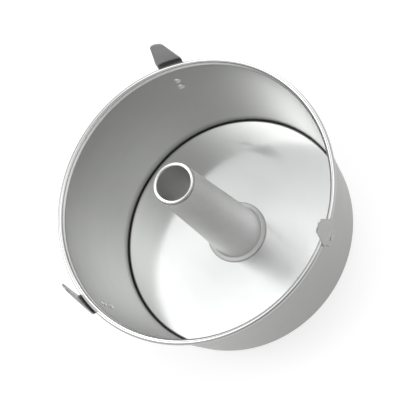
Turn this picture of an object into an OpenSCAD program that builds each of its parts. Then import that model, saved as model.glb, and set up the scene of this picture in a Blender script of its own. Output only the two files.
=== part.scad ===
// Two-piece angel food cake pan.
// The wall stands on its ledge at z = 0, and the pan's axis is Z.
// The base plate and its centre tube rest on the ledge and lift out upwards.
// Three riveted feet stand above the rim and carry the pan when it is turned over to cool.

/* [Pan wall] */
// Diameter over the rolled rim
rim_d = 256; // [235:1:290]
// Height of the top of the rolled rim above the table
pan_h = 111; // [90:1:130]
// Inside diameter of the wall where it meets the ledge
floor_d = 217; // [200:0.2:225]
// Width of the ledge that carries the base plate
ledge_w = 12; // [6:0.5:30]
// Thickness of the wall's sheet
wall_t = 1.2; // [0.9:0.05:1.5]
// Inside radius of the bend between the ledge and the wall
floor_bend_r = 1; // [0.5:0.1:1.5]

/* [Rolled rim] */
// Diameter of the roll round the rim
roll_d = 4.4; // [3.2:0.1:5]
// How far the wall steps outward below the roll
shoulder_w = 1.4; // [1:0.1:4]
// Height of that outward step
shoulder_h = 2.4; // [1.5:0.1:5]
// Height of the straight neck between the step and the roll
roll_neck_h = 0.4; // [0.3:0.05:1]

/* [Base plate] */
// Thickness of the plate
plate_t = 1.6; // [1:0.1:3]
// Gap between the plate's edge and the foot of the wall
plate_gap = 1.3; // [0.9:0.05:3]
// Radius along the plate's edges
plate_edge_r = 0.5; // [0.1:0.05:0.7]

/* [Centre tube] */
// Outside diameter of the tube just above its flange
tube_foot_d = 47.4; // [42:0.2:60]
// Outside diameter of the tube just below its top roll
tube_top_d = 36.6; // [30:0.2:44]
// Height of the tube's top above the table
tube_h = 150.4; // [120:0.2:180]
// Thickness of the tube's sheet
tube_t = 1.2; // [0.9:0.05:1.5]
// Diameter of the inward roll at the tube's top
tube_roll_d = 3.2; // [3:0.1:5]
// Width of the flange that seats the tube on the plate
flange_w = 4.7; // [2.5:0.1:8]
// Thickness of that flange
flange_t = 1.2; // [0.9:0.1:2]
// Radius of the bend from the tube into its flange
tube_bend_r = 1.5; // [0.5:0.1:2]
// Width of the lip that is turned over under the plate
crimp_w = 3.3; // [1.5:0.1:8]

/* [Feet] */
// Height of the feet above the rolled rim
foot_rise = 40; // [25:0.5:50]
// Depth of the feet's lower ends below the top of the rim
foot_drop = 40; // [38:0.5:60]
// Width of the feet where they pass the rim
foot_w = 23.4; // [18:0.2:28]
// Width of the feet at their tips
foot_tip_w = 10.2; // [8:0.2:16]
// Width of the feet at their riveted ends
foot_tail_w = 16; // [12:0.2:16.8]
// Thickness of the feet's sheet
foot_t = 1.2; // [0.9:0.05:2]
// Distance that the feet stand out from the rim as they pass it
foot_gap = 1.7; // [1:0.1:4]
// Outward lean of each foot above the rim, in degrees
foot_lean_angles = [-6, 7, -2];
// How far each foot sits off its even place round the rim, in degrees
foot_turn_angles = [1, -0.5, 0];
// Tilt of the feet to one side, in degrees
foot_tilt_angle = 5.5; // [-9:0.5:9]

/* [Rivets] */
// Diameter of the rivet holes
rivet_hole_d = 3.2; // [2.4:0.1:4]
// Diameter of the rivet heads
rivet_head_d = 6.8; // [5.4:0.1:8]
// Height of the domed rivet heads
rivet_head_h = 1.5; // [0.8:0.1:2.5]
// Depth of the upper rivets below the top of the rim
rivet_drop = 19.5; // [19:0.5:24]
// Distance between the two rivets of a foot
rivet_pitch = 10; // [8:0.2:12]

/* [Hidden] */
// Steps in an ordinary bend, and in a full roll
bend_steps = 6;
roll_steps = 24;
dome_steps = 6;
// Overrun of a cut past the solid that it cuts
cut_over = 1;
// Feet, spaced evenly round the rim
foot_count = len(foot_lean_angles);

// Wall and rolled rim
rim_r = rim_d / 2;
floor_r = floor_d / 2;
roll_r = roll_d / 2;
roll_centre = [rim_r - roll_r, pan_h - roll_r];
neck_foot = roll_centre - [roll_r, roll_neck_h];
shoulder_foot = neck_foot - [shoulder_w, shoulder_h];
wall_slope = (shoulder_foot[0] - floor_r) / (shoulder_foot[1] - wall_t);
wall_lean = atan(wall_slope);
shoulder_bend_r = 0.8;
neck_bend_r = 0.3;

// Base plate, which lies on the ledge
plate_r = floor_r - plate_gap;
plate_top = wall_t + plate_t;
plate_hole_gap = 0.1;

// Centre tube, whose flange and turned lip hold the plate between them
flange_top = plate_top + flange_t;
tube_foot = [tube_foot_d / 2, flange_top];
tube_roll_r = tube_roll_d / 2;
tube_roll_centre = [tube_top_d / 2 - tube_roll_r, tube_h - tube_roll_r];
foot_to_roll = tube_foot - tube_roll_centre;
// Angle at which the tube's outer face runs into its top roll
tube_lean = atan2(foot_to_roll[1], foot_to_roll[0]) + acos(tube_roll_r / norm(foot_to_roll));
tube_normal = [cos(tube_lean), sin(tube_lean)];
tube_up = [-sin(tube_lean), cos(tube_lean)];
flange_r = tube_foot[0] + flange_w;
flange_edge_r = 0.5;
crimp_r = tube_foot[0] + crimp_w;
crimp_edge_r = 0.3;
// Height of the turned lip above the table
crimp_lift = 0.3;

// Feet
foot_top = pan_h + foot_rise;
foot_bottom = pan_h - foot_drop;
// Heights, measured from the top of the rim, where a foot leaves the wall and where it turns upright
foot_leave_drop = 12;
foot_upright_drop = 1;
foot_bend_r = 2.5;
// Heights, measured from the top of the rim, between which a foot has its full width
foot_widen_drop = 17;
foot_full_drop = 3;
foot_full_rise = 3;
foot_tail_corner_share = 0.9;
foot_tip_corner_share = 1.1;
foot_side_r = 9;

// Rivets
rivet_clearance = 0.05;
rivet_edge_h = 0.3;
rivet_upper_z = pan_h - rivet_drop;
rivet_lower_z = rivet_upper_z - rivet_pitch;
rivet_names = ["upper", "lower"];
rivet_heights = [rivet_upper_z, rivet_lower_z];

wall_colour = [0.72, 0.73, 0.72];
plate_colour = [0.88, 0.89, 0.89];
tube_colour = [0.66, 0.67, 0.66];
foot_colour = [0.60, 0.61, 0.60];
rivet_colour = [0.82, 0.83, 0.84];

$fn = 96;

// Unit vector from p to q
function toward(p, q) = (q - p) / norm(q - p);

// Right-hand normal of the step from p to q
function right_of(p, q) = let (u = toward(p, q)) [u[1], -u[0]];

// Points on an arc about c, from angle a0 to angle a1
function arc(c, r, a0, a1, steps) =
    [for (i = [0:steps]) let (a = a0 + (a1 - a0) * i / steps) c + r * [cos(a), sin(a)]];

// Path with its inner corners rounded to the given radii, one for each point
function rounded(path, radii) = [
    for (i = [0:len(path) - 1])
        each (i == 0 || i == len(path) - 1 || radii[i] == 0)
            ? [path[i]]
            : corner(path[i - 1], path[i], path[i + 1], radii[i])
];

function corner(p0, p1, p2, r) =
    let (
        u = toward(p1, p0),
        v = toward(p1, p2),
        half = acos(u * v) / 2,
        reach = r / tan(half),
        c = p1 + toward([0, 0], u + v) * r / sin(half),
        first = p1 + u * reach - c,
        last = p1 + v * reach - c,
        a0 = atan2(first[1], first[0]),
        a1 = atan2(last[1], last[0]),
        sweep = (a1 - a0 + 540) % 360 - 180
    )
    arc(c, r, a0, a0 + sweep, bend_steps);

// Path moved sideways by t to its right, with mitred corners
function moved_right(path, t) = [
    for (i = [0:len(path) - 1])
        let (
            before = right_of(path[max(i - 1, 0)], path[max(i, 1)]),
            after = right_of(path[min(i, len(path) - 2)], path[min(i + 1, len(path) - 1)])
        )
        path[i] + t * (before + after) / (1 + before * after)
];

// Last point first
function backward(path) = [for (i = [len(path) - 1:-1:0]) path[i]];

// Sign of the turn at point i: positive to the left
function turn(path, i) =
    let (a = toward(path[i - 1], path[i]), b = toward(path[i], path[i + 1]))
    sign(a[0] * b[1] - a[1] * b[0]);

// Radii of the left face or the right face of a bent sheet, from the inside radius of each bend
function face_radii(path, bends, t, left) = [
    for (i = [0:len(path) - 1])
        (i == 0 || i == len(path) - 1) ? 0 : bends[i] + ((turn(path, i) > 0) == left ? 0 : t)
];

function left_face(path, bends, t) = rounded(path, face_radii(path, bends, t, true));

function right_face(path, bends, t) =
    rounded(moved_right(path, t), face_radii(path, bends, t, false));

// Radius of the wall's inside face at height z
function wall_face(z) = floor_r + (z - wall_t) * wall_slope;

// Radius of the wall's outside face at height z
function wall_back(z) = wall_face(z) + wall_t / cos(wall_lean);

// Moves its child to the wall's inside face, with +Z pointing out through the wall
module on_wall(angle, z) {
    rotate([0, 0, angle])
        translate([wall_face(z), 0, z])
            rotate([0, 90 + wall_lean, 0])
                children();
}

// Direction from the axis to foot i
function foot_angle(i) = 360 / foot_count * i + foot_turn_angles[i];

// Direction from the axis to the rivet of foot i at height z: the rivets follow the foot's tilt
function rivet_angle(i, z) = foot_angle(i) + atan((pan_h - z) * tan(foot_tilt_angle) / wall_face(z));

module rivet_holes(i) {
    for (z = rivet_heights) {
        on_wall(rivet_angle(i, z), z)
            cylinder(h = 2 * (wall_t + foot_t + cut_over), d = rivet_hole_d, center = true);
    }
}

// One sheet: the ledge, the leaning wall, the outward step and the roll that ends under the rim
module pan_wall() {
    roll_start = 175;
    roll_end = -90;
    path = [
        [floor_r - ledge_w, wall_t],
        [floor_r, wall_t],
        shoulder_foot,
        neck_foot,
        roll_centre - [roll_r, 0]
    ];
    bends = [0, floor_bend_r, shoulder_bend_r, neck_bend_r, 0];
    inner = concat(
        left_face(path, bends, wall_t),
        arc(roll_centre, roll_r, roll_start, roll_end, roll_steps)
    );
    outer = concat(
        right_face(path, bends, wall_t),
        arc(roll_centre, roll_r - wall_t, roll_start, roll_end, roll_steps)
    );
    color(wall_colour)
        difference() {
            rotate_extrude()
                polygon(concat(inner, backward(outer)));
            for (i = [0:foot_count - 1]) {
                rivet_holes(i);
            }
        }
}

// Loose round plate with the hole that the tube is fixed in
module base_plate() {
    hole_r = tube_foot[0] + plate_hole_gap;
    edge = rounded(
        [[hole_r, wall_t], [plate_r, wall_t], [plate_r, plate_top], [hole_r, plate_top]],
        [0, plate_edge_r, plate_edge_r, 0]
    );
    color(plate_colour)
        rotate_extrude()
            polygon(edge);
}

// Tapered tube: rolled in at the top, with a flange above the plate and a lip turned over below it
module centre_tube() {
    roll_end = 270;
    roll_inner_r = tube_roll_r - tube_t;
    inner_foot = tube_foot - tube_t * tube_normal;
    inner_bottom = inner_foot - tube_up * (inner_foot[1] - crimp_lift) / tube_up[1];
    inside = concat(
        [inner_bottom],
        arc(tube_roll_centre, roll_inner_r, tube_lean, roll_end, roll_steps)
    );
    outside = concat(
        arc(tube_roll_centre, tube_roll_r, roll_end, tube_lean, roll_steps),
        rounded(
            [
                tube_roll_centre + tube_roll_r * tube_normal,
                tube_foot,
                [flange_r, flange_top],
                [flange_r, plate_top],
                [tube_foot[0], plate_top],
                [tube_foot[0], wall_t],
                [crimp_r, wall_t],
                [crimp_r, crimp_lift],
                inner_bottom
            ],
            [0, tube_bend_r, flange_edge_r, 0, 0, 0, 0, crimp_edge_r, 0]
        )
    );
    color(tube_colour)
        rotate_extrude()
            polygon(concat(inside, outside));
}

// Side view of a foot: it lies on the wall, clears the roll and then stands up with its own lean
function foot_side(lean) =
    let (
        leave_z = pan_h - foot_leave_drop,
        upright = [rim_r + foot_gap, pan_h - foot_upright_drop],
        path = [
            [wall_back(foot_bottom), foot_bottom],
            [wall_back(leave_z), leave_z],
            upright,
            [upright[0] + (foot_top - upright[1]) * tan(lean), foot_top]
        ],
        bends = [0, foot_bend_r, foot_bend_r, 0]
    )
    concat(left_face(path, bends, foot_t), backward(right_face(path, bends, foot_t)));

// Front view of a foot: half of its outline, from the bottom up
foot_half = rounded(
    [
        [0, foot_bottom],
        [foot_tail_w / 2, foot_bottom],
        [foot_tail_w / 2, pan_h - foot_widen_drop],
        [foot_w / 2, pan_h - foot_full_drop],
        [foot_w / 2, pan_h + foot_full_rise],
        [foot_tip_w / 2, foot_top],
        [0, foot_top]
    ],
    [
        0,
        foot_tail_w / 2 * foot_tail_corner_share,
        foot_side_r,
        foot_side_r,
        foot_side_r,
        foot_tip_w / 2 * foot_tip_corner_share,
        0
    ]
);

// A strap bent round the rim and cut to its outline
module foot(i) {
    reach = foot_w / 2 + max(foot_rise, foot_drop) * abs(sin(foot_tilt_angle)) + cut_over;
    half_turn = asin(reach / floor_r);
    mirrored = [for (p = foot_half) [-p[0], p[1]]];
    color(foot_colour)
        difference() {
            intersection() {
                rotate([0, 0, foot_angle(i) - half_turn])
                    rotate_extrude(angle = 2 * half_turn)
                        polygon(foot_side(foot_lean_angles[i]));
                rotate([90, 0, 90 + foot_angle(i)])
                    linear_extrude(height = floor_r + rim_r)
                        translate([0, pan_h])
                            rotate(foot_tilt_angle)
                                translate([0, -pan_h])
                                    polygon(concat(foot_half, backward(mirrored)));
            }
            rivet_holes(i);
        }
}

// A rivet through the wall and the foot, with a domed head at each end
module rivet(i, z) {
    head_r = rivet_head_d / 2;
    shank_r = rivet_hole_d / 2 - rivet_clearance;
    dome_h = rivet_head_h - rivet_edge_h;
    dome_r = (head_r * head_r + dome_h * dome_h) / (2 * dome_h);
    dome_angle = asin(head_r / dome_r);
    // The flat head clears the hollow of the wall by as much as the wall curves across it
    seat = head_r * head_r / (2 * wall_face(z));
    grip = wall_t + foot_t;
    dome = [
        for (k = [0:dome_steps])
            let (a = dome_angle * (1 - k / dome_steps))
            [dome_r * sin(a), rivet_edge_h + dome_h - dome_r * (1 - cos(a))]
    ];
    inner_head = [for (p = backward(dome)) [p[0], -seat - p[1]]];
    outer_head = [for (p = dome) [p[0], grip + p[1]]];
    color(rivet_colour)
        on_wall(rivet_angle(i, z), z)
            rotate_extrude()
                polygon(concat(
                    inner_head,
                    [[head_r, -seat], [shank_r, -seat], [shank_r, grip], [head_r, grip]],
                    outer_head
                ));
}

pan_wall();
base_plate();
centre_tube();
for (i = [0:foot_count - 1]) {
    foot(i);
    for (k = [0:len(rivet_names) - 1]) {
        rivet(i, rivet_heights[k]);
    }
}
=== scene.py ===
"""Angel food cake pan in spun aluminium, standing on a white table in soft studio light."""
import math

import bmesh
import bpy
import numpy as np
from mathutils import Matrix, Vector


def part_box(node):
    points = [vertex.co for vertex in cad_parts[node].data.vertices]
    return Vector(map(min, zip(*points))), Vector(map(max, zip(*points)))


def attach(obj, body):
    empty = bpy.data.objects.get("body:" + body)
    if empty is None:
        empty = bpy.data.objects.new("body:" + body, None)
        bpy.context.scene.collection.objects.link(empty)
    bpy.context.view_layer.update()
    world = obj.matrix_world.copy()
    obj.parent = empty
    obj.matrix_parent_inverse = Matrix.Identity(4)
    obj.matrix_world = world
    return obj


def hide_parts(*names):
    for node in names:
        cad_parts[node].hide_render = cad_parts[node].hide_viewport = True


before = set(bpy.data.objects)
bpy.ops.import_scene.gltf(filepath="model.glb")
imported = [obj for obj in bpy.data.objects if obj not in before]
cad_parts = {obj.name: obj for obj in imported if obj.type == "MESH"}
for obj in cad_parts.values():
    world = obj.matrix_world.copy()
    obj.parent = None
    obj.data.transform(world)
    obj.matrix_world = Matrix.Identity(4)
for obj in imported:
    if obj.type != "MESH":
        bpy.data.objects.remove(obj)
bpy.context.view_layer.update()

# Lengths are in millimetres up to the finished meshes, which are in metres
MM = 0.001

# What the frame gives
WALL_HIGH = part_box("pan_wall")[1] / MM
PLATE_LOW, PLATE_HIGH = (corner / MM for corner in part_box("base_plate"))
TUBE_LOW, TUBE_HIGH = (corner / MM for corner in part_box("centre_tube"))
RIM_R = WALL_HIGH.x
PAN_H = WALL_HIGH.z
PLATE_R = PLATE_HIGH.x
PLATE_TOP = PLATE_HIGH.z
WALL_T = PLATE_LOW.z
FLANGE_R = TUBE_HIGH.x
TUBE_H = TUBE_HIGH.z

# Pan wall. The CAD's step under the rim is 2.4 high: this lower one renders nearer to the photograph
FLOOR_R = 108.5
LEDGE_W = 12
FLOOR_BEND_R = 1
ROLL_R = 2.2
SHOULDER_W = 1.4
SHOULDER_H = 1.7
SHOULDER_BEND_R = 0.8
ROLL_NECK_H = 0.4
NECK_BEND_R = 0.3
ROLL_START = 175
ROLL_END = -90

# Base plate
PLATE_EDGE_R = 0.5
PLATE_HOLE_R = 23.8

# Centre tube
TUBE_FOOT_R = 23.7
TUBE_TOP_R = 18.3
TUBE_T = 1.2
TUBE_ROLL_R = 1.6
TUBE_ROLL_END = 270
TUBE_BEND_R = 1.5
FLANGE_T = 1.2
FLANGE_EDGE_R = 0.5
CRIMP_R = 27
CRIMP_EDGE_R = 0.3

# Feet
FOOT_RISE = 40
FOOT_DROP = 40
FOOT_W = 23.4
FOOT_TIP_W = 10.2
FOOT_TAIL_W = 16
FOOT_T = 1.2
FOOT_GAP = 1.7
FOOT_AZIMUTHS = (1, 119.5, 240)
FOOT_LEANS = (-6, 7, -2)
FOOT_TILT = 5.5
FOOT_LEAVE_DROP = 12
FOOT_UPRIGHT_DROP = 1
FOOT_BEND_R = 2.5
FOOT_WIDEN_DROP = 17
FOOT_FULL_DROP = 3
FOOT_FULL_RISE = 3
FOOT_TAIL_CORNER_SHARE = 0.9
FOOT_TIP_CORNER_SHARE = 1.1
FOOT_SIDE_R = 9
FOOT_EDGE_R = 0.25

# Rivets
RIVET_HOLE_R = 1.6
RIVET_CLEARANCE = 0.05
RIVET_HEAD_R = 3.4
RIVET_HEAD_H = 1.5
RIVET_EDGE_H = 0.3
RIVET_EDGE_R = 0.12

# Fineness of the meshes
TURNS = 320
RIVET_TURNS = 48
BEND_STEPS = 8
ROLL_STEPS = 40
SUPPORT = 0.12
LONGEST_STEP = 4
STRIP_STEP = 0.8
STRIP_ACROSS = 2
STRIP_CUTS = 5
FOOT_EDGE_STEPS = 3

# Radius that counts as on the axis, and turn in radians that counts as a sharp edge
ON_AXIS = 1e-6
SHARP_ANGLE = 1

# Colours of the aluminium, with the tones that stand in for what it mirrors in the photograph
WALL_INSIDE_COLOUR = (0.53, 0.534, 0.52)
# Painted shade: the wall's outside is darker than its inside, standing in for the dim surroundings it
# mirrors
WALL_OUTSIDE_SHADE_COLOUR = (0.29, 0.293, 0.283)
# Painted shade low on the wall, where the corner with the plate lies in shade
WALL_FOOT_SHADE_COLOUR = (0.28, 0.283, 0.274)
# Painted shadow: a near-black line on the wall in the gap round the plate's edge
SEAM_SHADOW_COLOUR = (0.16, 0.16, 0.16)
# Painted highlight: the rolled rim is lighter than the wall, standing in for the bright bands it mirrors
RIM_HIGHLIGHT_COLOUR = (0.78, 0.78, 0.78)
# Painted shade on the outer side of the rim's roll, which draws its dark outline
RIM_SIDE_SHADE_COLOUR = (0.42, 0.42, 0.42)
PLATE_COLOUR = (0.84, 0.85, 0.85)
# Painted highlight: a thin bright line along the plate's rounded edge
PLATE_EDGE_HIGHLIGHT_COLOUR = (0.95, 0.95, 0.95)
TUBE_COLOUR = (0.93, 0.93, 0.925)
TUBE_SHADE_COLOUR = (0.74, 0.74, 0.735)
# Painted shade: a dark line at the flange's edge
FLANGE_EDGE_SHADE_COLOUR = (0.55, 0.55, 0.545)
TUBE_ROLL_COLOUR = (0.90, 0.90, 0.90)
# Painted shade on the outer side of the tube's roll, its dark outline
TUBE_ROLL_SIDE_SHADE_COLOUR = (0.5, 0.5, 0.5)
FOOT_INSIDE_COLOUR = (0.47, 0.47, 0.465)
# Painted shade: the feet's outward-looking faces are darker than their inner faces
FOOT_OUTSIDE_SHADE_COLOUR = (0.33, 0.33, 0.325)
RIVET_INSIDE_COLOUR = (0.95, 0.95, 0.95)
# Painted shade: the outer rivet heads are darker than the inner ones, which dims what they mirror
RIVET_OUTSIDE_SHADE_COLOUR = (0.4, 0.4, 0.4)

# Where a tone starts and where it is full, as heights and as how far a face looks outwards
WALL_FOOT_SHADE_FADE = (12, 5)
SEAM_SHADOW_FADE = (3.0, 2.4)
WALL_OUTWARD = (0.0, 0.3)
RIM_OUTWARD = (0.3, 0.8)
BORE_OUTWARD = (0.0, -0.3)
TUBE_ROLL_OUTWARD = (0.3, 0.7)
FOOT_OUTWARD = (-0.2, 0.2)
RIVET_OUTWARD = (0.0, 0.3)

# The same as distances from a named height or radius
RIM_FROM_SHOULDER = (-0.2, 0.4)
POLISH_FROM_NECK = (-0.3, 0.2)
SEAM_SHADOW_FROM_PLATE_R = (-0.6, 0.2)
EDGE_FROM_PLATE_R = (-0.8, -0.4)
SHADE_FROM_FLANGE_TOP = (1, 0.4)
EDGE_FROM_FLANGE_R = (-1.3, -0.6)
ROLL_FROM_ITS_FOOT = (-0.5, 0.5)

# Finish of each metal: roughness, how far the highlight is stretched, and depth of the turning marks
WALL_ROUGHNESS = 0.35
RIM_ROUGHNESS = 0.14
WALL_STRETCH = 0.5
WALL_MARKS = 0.0008
PLATE_ROUGHNESS = 0.14
PLATE_EDGE_ROUGHNESS = 0.2
PLATE_STRETCH = 0.9
PLATE_MARKS = 0.0003
TUBE_ROUGHNESS = 0.6
TUBE_ROLL_ROUGHNESS = 0.2
TUBE_STRETCH = 0.4
TUBE_MARKS = 0.0008
FOOT_ROUGHNESS = 0.35
RIVET_ROUGHNESS = 0.38
STRIP_MARKS = 0.002

# Range that most of a noise's values lie in, and the fineness of the noises in the metals
NOISE_LOW, NOISE_HIGH = 0.3, 0.7
NOISE_DETAIL = 3
RINGS_FINE = 2.2
RINGS_BROAD = 0.06
RINGS_AROUND = 1.5
RINGS_ROUGHNESS = 0.6
CLOUD_SCALE = 18
GRAIN_SCALES = (900, 900, 40)
RUBBED_SCALE = 90

# How far noise moves a tone to either side, and the same for roughness
TURNED_TONE = 0.015
RUBBED_TONE = 0.03
RINGS_CHANGE = 0.02
CLOUD_CHANGE = 0.015
GRAIN_CHANGE = 0.03

# Factor, first and second colour among the inputs of a colour mix, and its result among the outputs
MIX_SHARE, MIX_FIRST, MIX_SECOND = "0", "6", "7"
MIX_RESULT = 2

# Table top: size in metres, grey, and how much that is lifted towards white where it is seen or mirrored
FLOOR_SIZE = 8
FLOOR_COLOUR = (0.5, 0.5, 0.5, 1)
FLOOR_ROUGHNESS = 0.9
FLOOR_LIFT = 0.65

# Studio light: a dim level all round, and glows of azimuth, elevation, strength and sharpness
SKY_BASE = 0.01
SKY_GLOWS = (
    (315, 35, 3.11, 25),
    (325, 67, 2.65, 25),
    (17, 16, 0.75, 2.7),
    (147, 15, 0.99, 2.7),
    (187, 64, 1.42, 17.3),
    (233, 15, 3.29, 8.5),
)
GLOSSY_BOUNCES = 8

# Camera at the photograph's viewpoint: degrees, millimetres
CAMERA_AZIMUTH = 99.06
CAMERA_ELEVATION = 61.22
CAMERA_ROLL = -52.27
CAMERA_TARGET = (5.52, -50.56, 3)
CAMERA_DISTANCE = 1422.7
CAMERA_LENS = 138.08
CAMERA_SENSOR = 36


def arc(centre, radius, start, end, steps=BEND_STEPS):
    """Points on an arc, between two angles in degrees."""
    points = []
    for i in range(steps + 1):
        angle = math.radians(start + (end - start) * i / steps)
        points.append(Vector(centre) + radius * Vector((math.cos(angle), math.sin(angle))))
    return points


def right_of(p, q):
    step = (q - p).normalized()
    return Vector((step.y, -step.x))


def moved_right(path, distance):
    """A path moved sideways to its right, with mitred corners."""
    moved = []
    for i, point in enumerate(path):
        before = right_of(path[max(i - 1, 0)], path[max(i, 1)])
        after = right_of(path[min(i, len(path) - 2)], path[min(i + 1, len(path) - 1)])
        moved.append(point + distance * (before + after) / (1 + before.dot(after)))
    return moved


def corner(before, at, after, radius):
    """An arc that rounds one corner of a path."""
    u = (before - at).normalized()
    v = (after - at).normalized()
    half = math.acos(max(-1, min(1, u.dot(v)))) / 2
    centre = at + (u + v).normalized() * radius / math.sin(half)
    first = at + u * radius / math.tan(half) - centre
    last = at + v * radius / math.tan(half) - centre
    start = math.degrees(math.atan2(first.y, first.x))
    sweep = (math.degrees(math.atan2(last.y, last.x)) - start + 180) % 360 - 180
    return arc(centre, radius, start, start + sweep)


def rounded(path, radii):
    """A path whose inner corners are rounded, with one radius for each point."""
    path = [Vector(point) for point in path]
    points = []
    for i, point in enumerate(path):
        if i in (0, len(path) - 1) or radii[i] == 0:
            points.append(point)
        else:
            points += corner(path[i - 1], point, path[i + 1], radii[i])
    return points


def sheet_faces(path, bends, thickness):
    """Both faces of a bent sheet: the path and the face to its right, from each bend's inside radius."""
    path = [Vector(point) for point in path]
    left, right = [0], [0]
    for before, at, after, bend in zip(path, path[1:], path[2:], bends[1:]):
        turns_left = right_of(before, at).dot(after - at) < 0
        left.append(bend + (0 if turns_left else thickness))
        right.append(bend + (thickness if turns_left else 0))
    return rounded(path, left + [0]), rounded(moved_right(path, thickness), right + [0])


def supported(loop):
    """A closed loop with points close to each corner and along each long side, for clean shading."""
    points = []
    for p, q in zip(loop, loop[1:] + loop[:1]):
        points.append(p)
        length = (q - p).length
        if length < 3 * SUPPORT:
            continue
        inner = length - 2 * SUPPORT
        count = max(1, math.ceil(inner / LONGEST_STEP))
        for i in range(count + 1):
            points.append(p.lerp(q, (SUPPORT + inner * i / count) / length))
    return points


def finished(name, mesh_data):
    """A shaded object from a bmesh in millimetres."""
    bmesh.ops.recalc_face_normals(mesh_data, faces=mesh_data.faces)
    bmesh.ops.scale(mesh_data, vec=(MM, MM, MM), verts=mesh_data.verts)
    mesh = bpy.data.meshes.new(name)
    mesh_data.to_mesh(mesh)
    mesh_data.free()
    mesh.shade_smooth()
    piece = bpy.data.objects.new(name, mesh)
    bpy.context.scene.collection.objects.link(piece)
    return piece


def lathe(name, loop, turns=TURNS, closed=True, place=None):
    """A body of revolution about Z from a loop of radius and height.

    A loop that isn't closed starts and ends on the axis.
    """
    work = bmesh.new()
    rings = []
    for radius, height in loop:
        if radius < ON_AXIS:
            rings.append([work.verts.new((0, 0, height))])
            continue
        ring = []
        for i in range(turns):
            angle = 2 * math.pi * i / turns
            ring.append(work.verts.new((radius * math.cos(angle), radius * math.sin(angle), height)))
        rings.append(ring)
    pairs = list(zip(rings, rings[1:]))
    if closed:
        pairs.append((rings[-1], rings[0]))
    for low, high in pairs:
        for i in range(turns):
            j = (i + 1) % turns
            if len(low) == 1:
                work.faces.new((low[0], high[j], high[i]))
            elif len(high) == 1:
                work.faces.new((low[i], low[j], high[0]))
            else:
                work.faces.new((low[i], low[j], high[j], high[i]))
    if place is not None:
        bmesh.ops.transform(work, matrix=place, verts=work.verts)
    return finished(name, work)


def dress(piece, body, node, material):
    """The piece stands for a CAD node and moves with its body."""
    piece.data.materials.append(material)
    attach(piece, body)
    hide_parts(node)
    return piece


def wall_path():
    """Inside face of the wall: ledge, leaning wall, outward step and neck."""
    roll = Vector((RIM_R - ROLL_R, PAN_H - ROLL_R))
    neck = roll - Vector((ROLL_R, ROLL_NECK_H))
    shoulder = neck - Vector((SHOULDER_W, SHOULDER_H))
    floor = Vector((FLOOR_R, WALL_T))
    return roll, [floor - Vector((LEDGE_W, 0)), floor, shoulder, neck, roll - Vector((ROLL_R, 0))]


def wall_slope():
    _, path = wall_path()
    return (path[2].x - path[1].x) / (path[2].y - path[1].y)


def wall_face(height):
    """Radius of the wall's inside face."""
    return FLOOR_R + (height - WALL_T) * wall_slope()


def wall_back(height):
    """Radius of the wall's outside face."""
    return wall_face(height) + WALL_T * math.hypot(1, wall_slope())


def make_wall():
    roll, path = wall_path()
    bends = [0, FLOOR_BEND_R, SHOULDER_BEND_R, NECK_BEND_R, 0]
    inside, outside = sheet_faces(path, bends, WALL_T)
    inside += arc(roll, ROLL_R, ROLL_START, ROLL_END, ROLL_STEPS)
    outside += arc(roll, ROLL_R - WALL_T, ROLL_START, ROLL_END, ROLL_STEPS)
    return lathe("wall_spun", supported(inside + outside[::-1]))


def make_plate():
    loop = rounded(
        [(PLATE_HOLE_R, WALL_T), (PLATE_R, WALL_T), (PLATE_R, PLATE_TOP), (PLATE_HOLE_R, PLATE_TOP)],
        [0, PLATE_EDGE_R, PLATE_EDGE_R, 0],
    )
    return lathe("plate_spun", supported(loop))


def make_tube():
    """Tapered tube: rolled in at the top, flange above the plate and lip turned over below it."""
    flange_top = PLATE_TOP + FLANGE_T
    roll = Vector((TUBE_TOP_R - TUBE_ROLL_R, TUBE_H - TUBE_ROLL_R))
    foot = Vector((TUBE_FOOT_R, flange_top))
    reach = foot - roll
    lean = math.degrees(math.atan2(reach.y, reach.x) + math.acos(TUBE_ROLL_R / reach.length))
    normal = Vector((math.cos(math.radians(lean)), math.sin(math.radians(lean))))
    up = Vector((-normal.y, normal.x))
    inner_foot = foot - TUBE_T * normal
    inner_bottom = inner_foot - up * (inner_foot.y - TUBE_LOW.z) / up.y
    inside = [inner_bottom] + arc(roll, TUBE_ROLL_R - TUBE_T, lean, TUBE_ROLL_END, ROLL_STEPS)
    outside = arc(roll, TUBE_ROLL_R, TUBE_ROLL_END, lean, ROLL_STEPS) + rounded(
        [
            roll + TUBE_ROLL_R * normal,
            foot,
            (FLANGE_R, flange_top),
            (FLANGE_R, PLATE_TOP),
            (TUBE_FOOT_R, PLATE_TOP),
            (TUBE_FOOT_R, WALL_T),
            (CRIMP_R, WALL_T),
            (CRIMP_R, TUBE_LOW.z),
            inner_bottom,
        ],
        [0, TUBE_BEND_R, FLANGE_EDGE_R, 0, 0, 0, 0, CRIMP_EDGE_R, 0],
    )[1:-1]
    return lathe("tube_drawn", supported(inside + outside))


def foot_outline():
    """Flat outline of a foot, seen from the front, before it is bent round the rim."""
    tail, full, tip = FOOT_TAIL_W / 2, FOOT_W / 2, FOOT_TIP_W / 2
    bottom, top = PAN_H - FOOT_DROP, PAN_H + FOOT_RISE
    half = rounded(
        [
            (0, bottom),
            (tail, bottom),
            (tail, PAN_H - FOOT_WIDEN_DROP),
            (full, PAN_H - FOOT_FULL_DROP),
            (full, PAN_H + FOOT_FULL_RISE),
            (tip, top),
            (0, top),
        ],
        [0, tail * FOOT_TAIL_CORNER_SHARE, FOOT_SIDE_R, FOOT_SIDE_R, FOOT_SIDE_R,
         tip * FOOT_TIP_CORNER_SHARE, 0],
    )
    return half + [Vector((-p.x, p.y)) for p in half[-2:0:-1]]


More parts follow.
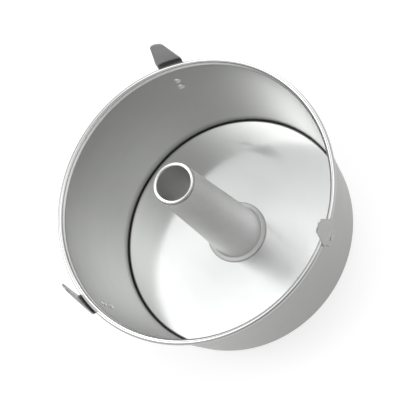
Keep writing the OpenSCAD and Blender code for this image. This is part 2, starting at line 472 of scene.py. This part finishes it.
def foot_faces(lean):
    """Radius against height of a foot's inner and outer face."""
    bottom, leave, top = PAN_H - FOOT_DROP, PAN_H - FOOT_LEAVE_DROP, PAN_H + FOOT_RISE
    upright = Vector((RIM_R + FOOT_GAP, PAN_H - FOOT_UPRIGHT_DROP))
    path = [
        (wall_back(bottom), bottom),
        (wall_back(leave), leave),
        upright,
        (upright.x + (top - upright.y) * math.tan(math.radians(lean)), top),
    ]
    return sheet_faces(path, [0, FOOT_BEND_R, FOOT_BEND_R, 0], FOOT_T)


def flat_strip():
    """Flat sheet of a foot's outline, cut finely enough to bend, with its edges rounded."""
    work = bmesh.new()
    work.faces.new([work.verts.new((p.x, 0, p.y)) for p in foot_outline()])
    height = PAN_H - FOOT_DROP + STRIP_STEP
    while height < PAN_H + FOOT_RISE:
        parts = work.verts[:] + work.edges[:] + work.faces[:]
        bmesh.ops.bisect_plane(work, geom=parts, plane_co=(0, 0, height), plane_no=(0, 0, 1))
        height += STRIP_STEP
    for i in range(-STRIP_CUTS, STRIP_CUTS + 1):
        parts = work.verts[:] + work.edges[:] + work.faces[:]
        across = (i * STRIP_ACROSS, 0, 0)
        bmesh.ops.bisect_plane(work, geom=parts, plane_co=across, plane_no=(1, 0, 0))
    back = bmesh.ops.extrude_face_region(work, geom=work.faces[:], use_keep_orig=True)
    moved = [item for item in back["geom"] if isinstance(item, bmesh.types.BMVert)]
    bmesh.ops.translate(work, vec=(0, FOOT_T, 0), verts=moved)
    rims = [e for e in work.edges if len(e.link_faces) == 2 and e.calc_face_angle(0) > SHARP_ANGLE]
    bmesh.ops.bevel(
        work, geom=rims, offset=FOOT_EDGE_R, segments=FOOT_EDGE_STEPS, profile=0.5, affect="EDGES"
    )
    return work


def make_foot(i):
    inner, outer = foot_faces(FOOT_LEANS[i])
    inner_r, inner_z = [p.x for p in inner], [p.y for p in inner]
    outer_r, outer_z = [p.x for p in outer], [p.y for p in outer]
    tilt = math.radians(FOOT_TILT)
    azimuth = math.radians(FOOT_AZIMUTHS[i])
    work = flat_strip()
    for vert in work.verts:
        along, share, rise = vert.co.x, vert.co.y / FOOT_T, vert.co.z - PAN_H
        side = along * math.cos(tilt) - rise * math.sin(tilt)
        height = PAN_H + along * math.sin(tilt) + rise * math.cos(tilt)
        low = np.interp(height, inner_z, inner_r)
        high = np.interp(height, outer_z, outer_r)
        radius = low + (high - low) * share
        angle = azimuth + math.asin(side / radius)
        vert.co = (radius * math.cos(angle), radius * math.sin(angle), height)
    return finished(f"foot_{i + 1}_strip", work)


def make_rivet(node):
    """A set rivet: a shank through wall and foot, with a domed head at each end."""
    low, high = (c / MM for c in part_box(node))
    middle = (low + high) / 2
    azimuth = math.atan2(middle.y, middle.x)
    lean = math.atan(wall_slope())
    seat = RIVET_HEAD_R ** 2 / (2 * wall_face(middle.z))
    grip = WALL_T + FOOT_T
    dome_h = RIVET_HEAD_H - RIVET_EDGE_H
    dome_r = (RIVET_HEAD_R ** 2 + dome_h ** 2) / (2 * dome_h)
    dome_angle = math.degrees(math.asin(RIVET_HEAD_R / dome_r))
    dome = arc((0, RIVET_HEAD_H - dome_r), dome_r, 90 - dome_angle, 90)
    head = rounded([(RIVET_HEAD_R, 0)] + dome, [0, RIVET_EDGE_R] + [0] * BEND_STEPS)
    shank = RIVET_HOLE_R - RIVET_CLEARANCE
    inner_head = [Vector((p.x, -seat - p.y)) for p in reversed(head)]
    outer_head = [Vector((p.x, grip + p.y)) for p in head]
    loop = inner_head + [Vector((shank, -seat)), Vector((shank, grip))] + outer_head
    half = (grip - seat) / 2
    place = (
        Matrix.Translation(middle)
        @ Matrix.Rotation(azimuth, 4, "Z")
        @ Matrix.Rotation(math.radians(90) + lean, 4, "Y")
        @ Matrix.Translation((0, 0, -half))
    )
    return lathe(f"{node}_set", loop, RIVET_TURNS, closed=False, place=place)


class Nodes:
    """Small helper that adds shader nodes and links them."""

    def __init__(self, tree):
        self.tree = tree

    def add(self, kind, operation=None, **inputs):
        node = self.tree.nodes.new(kind)
        if operation is not None:
            node.operation = operation
        for name, value in inputs.items():
            self.put(node, name.replace("_", " ").strip(), value)
        return node

    def put(self, node, name, value):
        socket = node.inputs[int(name)] if name.isdigit() else node.inputs[name]
        if isinstance(value, bpy.types.NodeSocket):
            self.tree.links.new(value, socket)
        else:
            socket.default_value = value

    def maths(self, operation, first, second=0.0, third=0.0):
        node = self.tree.nodes.new("ShaderNodeMath")
        node.operation = operation
        for index, value in enumerate((first, second, third)):
            self.put(node, str(index), value)
        return node.outputs[0]

    def vector(self, x, y, z):
        return self.add("ShaderNodeCombineXYZ", X=x, Y=y, Z=z).outputs[0]

    def noise(self, where, scale, detail=2.0, roughness=0.5):
        node = self.add("ShaderNodeTexNoise", Vector=where, Scale=scale, Detail=detail)
        self.put(node, "Roughness", roughness)
        return node.outputs["Fac"]

    def ranged(self, value, low, high, to_low, to_high):
        node = self.add("ShaderNodeMapRange", Value=value)
        ends = {"From Min": low, "From Max": high, "To Min": to_low, "To Max": to_high}
        for name, number in ends.items():
            self.put(node, name, number)
        return node.outputs[0]

    def swing(self, value, amount):
        """Noise brought to between minus and plus an amount."""
        return self.ranged(value, NOISE_LOW, NOISE_HIGH, -amount, amount)

    def scaled(self, value, scale):
        return self.add("ShaderNodeVectorMath", "SCALE", **{"0": value, "Scale": scale}).outputs[0]


def around_axis(n):
    """Where a point lies about the Z axis, in millimetres, and how far its face looks outwards."""
    surface = n.add("ShaderNodeTexCoord")
    place = n.scaled(surface.outputs["Object"], 1 / MM)
    x, y, z = n.add("ShaderNodeSeparateXYZ", Vector=place).outputs
    radius = n.maths("SQRT", n.maths("ADD", n.maths("MULTIPLY", x, x), n.maths("MULTIPLY", y, y)))
    cosine, sine = n.maths("DIVIDE", x, radius), n.maths("DIVIDE", y, radius)
    facing = {"0": surface.outputs["Normal"], "1": n.vector(cosine, sine, 0.0)}
    outward = n.add("ShaderNodeVectorMath", "DOT_PRODUCT", **facing).outputs["Value"]
    return {"radius": radius, "height": z, "cosine": cosine, "sine": sine, "outward": outward}


def ring_noise(n, where, fineness, around, detail=2.0):
    """Noise that runs in rings about the Z axis: fine across them and slow along them."""
    across = n.maths("MULTIPLY", n.maths("ADD", where["radius"], where["height"]), fineness)
    along_x = n.maths("MULTIPLY", where["cosine"], around)
    along_y = n.maths("MULTIPLY", where["sine"], around)
    return n.noise(n.vector(across, along_x, along_y), 1, detail, RINGS_ROUGHNESS)


def from_line(measure, line, distances):
    """Limits of a band that starts and is full at two distances from a height or radius."""
    start, full = distances
    return measure, line + start, line + full


def band_share(n, where, limits):
    """How far a point lies inside a band: 1 where every measure has reached its full value."""
    share = 1.0
    for measure, start, full in limits:
        share = n.maths("MULTIPLY", n.ranged(where[measure], start, full, 0, 1), share)
    return share


def banded(n, where, colour, bands):
    """A colour with bands of other colours over it.

    Each band has its limits and its colour. A limit is a measure, where it starts and where it is full.
    """
    plain = n.add("ShaderNodeRGB")
    plain.outputs[0].default_value = (*colour, 1)
    now = plain.outputs[0]
    for limits, other in bands:
        mixed = n.add("ShaderNodeMix")
        mixed.data_type = "RGBA"
        n.put(mixed, MIX_SHARE, band_share(n, where, limits))
        n.put(mixed, MIX_FIRST, now)
        n.put(mixed, MIX_SECOND, (*other, 1))
        now = mixed.outputs[MIX_RESULT]
    return now


def metal(name):
    """A new bare metal: the material, its nodes and its shader."""
    material = bpy.data.materials.new(name)
    material.use_nodes = True
    shader = material.node_tree.nodes["Principled BSDF"]
    shader.inputs["Metallic"].default_value = 1
    return material, Nodes(material.node_tree), shader


def spun_metal(name, colour, bands, roughness, finer, stretch, marks):
    """Aluminium turned on a lathe: fine rings, soft streaks along them and a stretched highlight.

    finer has the limits of the part whose roughness differs from the rest, and its roughness.
    """
    material, n, shader = metal(name)
    n.put(shader, "Anisotropic", stretch)
    tangent = n.add("ShaderNodeTangent")
    tangent.direction_type = "RADIAL"
    tangent.axis = "Z"
    n.put(shader, "Tangent", tangent.outputs[0])
    where = around_axis(n)
    fine = ring_noise(n, where, RINGS_FINE, RINGS_AROUND, NOISE_DETAIL)
    broad = ring_noise(n, where, RINGS_BROAD, RINGS_AROUND)
    cloud = n.noise(n.add("ShaderNodeTexCoord").outputs["Object"], CLOUD_SCALE, NOISE_DETAIL)
    tone = n.maths("ADD", n.swing(broad, TURNED_TONE), n.swing(cloud, TURNED_TONE))
    shade = banded(n, where, colour, bands)
    n.put(shader, "Base Color", n.scaled(shade, n.maths("ADD", 1.0, tone)))
    change = n.maths("ADD", n.swing(fine, RINGS_CHANGE), n.swing(cloud, CLOUD_CHANGE))
    limits, other = finer
    level = n.maths("MULTIPLY_ADD", band_share(n, where, limits), other - roughness, roughness)
    n.put(shader, "Roughness", n.maths("ADD", change, level))
    bump = n.add("ShaderNodeBump", Strength=1.0, Distance=marks * MM, Height=fine)
    n.put(shader, "Normal", bump.outputs[0])
    return material


def strip_metal(name, colour, bands, roughness):
    """Rolled aluminium strip: faint lengthwise grain and small rubbed marks."""
    material, n, shader = metal(name)
    place = n.add("ShaderNodeTexCoord").outputs["Object"]
    grain = n.add("ShaderNodeVectorMath", "MULTIPLY", **{"0": place, "1": GRAIN_SCALES})
    fine = n.noise(grain.outputs[0], 1, NOISE_DETAIL)
    cloud = n.noise(place, RUBBED_SCALE, NOISE_DETAIL)
    rubbed = n.maths("ADD", 1.0, n.swing(cloud, RUBBED_TONE))
    shade = banded(n, around_axis(n), colour, bands)
    n.put(shader, "Base Color", n.scaled(shade, rubbed))
    n.put(shader, "Roughness", n.maths("ADD", n.swing(fine, GRAIN_CHANGE), roughness))
    bump = n.add("ShaderNodeBump", Strength=1.0, Distance=STRIP_MARKS * MM, Height=fine)
    n.put(shader, "Normal", bump.outputs[0])
    return material


def wall_metal():
    """Satin wall with painted shade outside and at its foot, a painted shadow in the gap round the
    plate, and a painted highlight on the rim with painted shade on the rim's outer side.
    """
    _, path = wall_path()
    rim = [from_line("height", path[2].y, RIM_FROM_SHOULDER)]
    rolled_rim = [from_line("height", path[3].y, POLISH_FROM_NECK)]
    # Painted shadow in the gap between the wall and the plate's edge
    seam_shadow = [("height", *SEAM_SHADOW_FADE), from_line("radius", PLATE_R, SEAM_SHADOW_FROM_PLATE_R)]
    bands = [
        # Painted shade towards the wall's foot, darkest near the plate
        ([("height", *WALL_FOOT_SHADE_FADE)], WALL_FOOT_SHADE_COLOUR),
        (seam_shadow, SEAM_SHADOW_COLOUR),
        # Painted shade over the outward-looking face of the wall
        ([("outward", *WALL_OUTWARD)], WALL_OUTSIDE_SHADE_COLOUR),
        # Painted highlight over the rim above its shoulder
        (rim, RIM_HIGHLIGHT_COLOUR),
        # Painted shade on the rim's outward-looking side
        (rim + [("outward", *RIM_OUTWARD)], RIM_SIDE_SHADE_COLOUR),
    ]
    finer = (rolled_rim, RIM_ROUGHNESS)
    return spun_metal(
        "wall_aluminium", WALL_INSIDE_COLOUR, bands, WALL_ROUGHNESS, finer, WALL_STRETCH, WALL_MARKS
    )


def plate_metal():
    """Polished plate with a painted highlight along its edge, which is also less polished."""
    edge = [from_line("radius", PLATE_R, EDGE_FROM_PLATE_R)]
    # Painted highlight along the plate's edge
    bands = [(edge, PLATE_EDGE_HIGHLIGHT_COLOUR)]
    finer = (edge, PLATE_EDGE_ROUGHNESS)
    return spun_metal(
        "plate_aluminium", PLATE_COLOUR, bands, PLATE_ROUGHNESS, finer, PLATE_STRETCH, PLATE_MARKS
    )


def tube_metal():
    """Dull tube with painted shade in its bore, at its foot and at the flange's edge, and painted shade
    on the outer side of its smoother roll.
    """
    roll = [from_line("height", TUBE_H - 2 * TUBE_ROLL_R, ROLL_FROM_ITS_FOOT)]
    bands = [
        ([("outward", *BORE_OUTWARD)], TUBE_SHADE_COLOUR),
        ([from_line("height", PLATE_TOP + FLANGE_T, SHADE_FROM_FLANGE_TOP)], TUBE_SHADE_COLOUR),
        # Painted shade at the flange's edge
        ([from_line("radius", FLANGE_R, EDGE_FROM_FLANGE_R)], FLANGE_EDGE_SHADE_COLOUR),
        (roll, TUBE_ROLL_COLOUR),
        # Painted shade on the roll's outward-looking side
        (roll + [("outward", *TUBE_ROLL_OUTWARD)], TUBE_ROLL_SIDE_SHADE_COLOUR),
    ]
    finer = (roll, TUBE_ROLL_ROUGHNESS)
    return spun_metal(
        "tube_aluminium", TUBE_COLOUR, bands, TUBE_ROUGHNESS, finer, TUBE_STRETCH, TUBE_MARKS
    )


def foot_metal():
    # Painted shade on the feet's outward-looking faces
    bands = [([("outward", *FOOT_OUTWARD)], FOOT_OUTSIDE_SHADE_COLOUR)]
    return strip_metal("feet_aluminium", FOOT_INSIDE_COLOUR, bands, FOOT_ROUGHNESS)


def rivet_metal():
    # Painted shade on the outward-looking rivet heads
    bands = [([("outward", *RIVET_OUTWARD)], RIVET_OUTSIDE_SHADE_COLOUR)]
    return strip_metal("rivet_aluminium", RIVET_INSIDE_COLOUR, bands, RIVET_ROUGHNESS)


def make_floor():
    """Grey table top, lifted towards white where it is seen or mirrored, which keeps its shadows."""
    bpy.ops.mesh.primitive_plane_add(size=FLOOR_SIZE)
    floor = bpy.context.object
    floor.name = "table"
    material = bpy.data.materials.new("table_white")
    material.use_nodes = True
    n = Nodes(material.node_tree)
    shader = material.node_tree.nodes["Principled BSDF"]
    n.put(shader, "Base Color", FLOOR_COLOUR)
    n.put(shader, "Roughness", FLOOR_ROUGHNESS)
    n.put(shader, "Specular IOR Level", 0)
    n.put(shader, "Emission Color", (1, 1, 1, 1))
    path = n.add("ShaderNodeLightPath")
    seen = n.maths("MAXIMUM", path.outputs["Is Camera Ray"], path.outputs["Is Glossy Ray"])
    seen = n.maths("MAXIMUM", seen, path.outputs["Is Transmission Ray"])
    n.put(shader, "Emission Strength", n.maths("MULTIPLY", seen, FLOOR_LIFT))
    floor.data.materials.append(material)


def toward(azimuth, elevation):
    """Unit vector towards an azimuth and elevation in degrees."""
    azimuth, elevation = math.radians(azimuth), math.radians(elevation)
    level = math.cos(elevation)
    return Vector((level * math.cos(azimuth), level * math.sin(azimuth), math.sin(elevation)))


def make_world():
    """Studio of soft light: a dim level all round, with a few broad glows."""
    world = bpy.data.worlds.new("studio")
    bpy.context.scene.world = world
    world.use_nodes = True
    n = Nodes(world.node_tree)
    sight = n.add("ShaderNodeTexCoord").outputs["Generated"]
    light = SKY_BASE
    for azimuth, elevation, strength, sharpness in SKY_GLOWS:
        facing = {"0": sight, "1": toward(azimuth, elevation)}
        nearness = n.add("ShaderNodeVectorMath", "DOT_PRODUCT", **facing).outputs["Value"]
        drop = n.maths("MULTIPLY", n.maths("SUBTRACT", nearness, 1), sharpness)
        light = n.maths("MULTIPLY_ADD", n.maths("EXPONENT", drop), strength, light)
    background = world.node_tree.nodes["Background"]
    n.put(background, "Color", (1, 1, 1, 1))
    n.put(background, "Strength", light)


def make_camera():
    back = toward(CAMERA_AZIMUTH, CAMERA_ELEVATION)
    azimuth = math.radians(CAMERA_AZIMUTH)
    level = Vector((-math.sin(azimuth), math.cos(azimuth), 0))
    turn = Matrix.Rotation(math.radians(CAMERA_ROLL), 3, back)
    right = turn @ level
    up = back.cross(right)
    place = Matrix((right, up, back)).transposed().to_4x4()
    place.translation = (Vector(CAMERA_TARGET) + back * CAMERA_DISTANCE) * MM
    data = bpy.data.cameras.new("camera")
    data.sensor_width = CAMERA_SENSOR
    data.lens = CAMERA_LENS
    camera = bpy.data.objects.new("camera", data)
    camera.matrix_world = place
    bpy.context.scene.collection.objects.link(camera)
    bpy.context.scene.camera = camera


def make_object():
    satin = wall_metal()
    polished = plate_metal()
    drawn = tube_metal()
    rolled = foot_metal()
    bright = rivet_metal()
    dress(make_wall(), "pan", "pan_wall", satin)
    dress(make_plate(), "base", "base_plate", polished)
    dress(make_tube(), "base", "centre_tube", drawn)
    for i in range(len(FOOT_LEANS)):
        dress(make_foot(i), "pan", f"foot_{i + 1}", rolled)
        for level in ("upper", "lower"):
            node = f"rivet_{i + 1}_{level}"
            dress(make_rivet(node), "pan", node, bright)


make_camera()
make_object()
make_floor()
make_world()
bpy.context.scene.view_settings.view_transform = "Standard"
bpy.context.scene.cycles.glossy_bounces = GLOSSY_BOUNCES
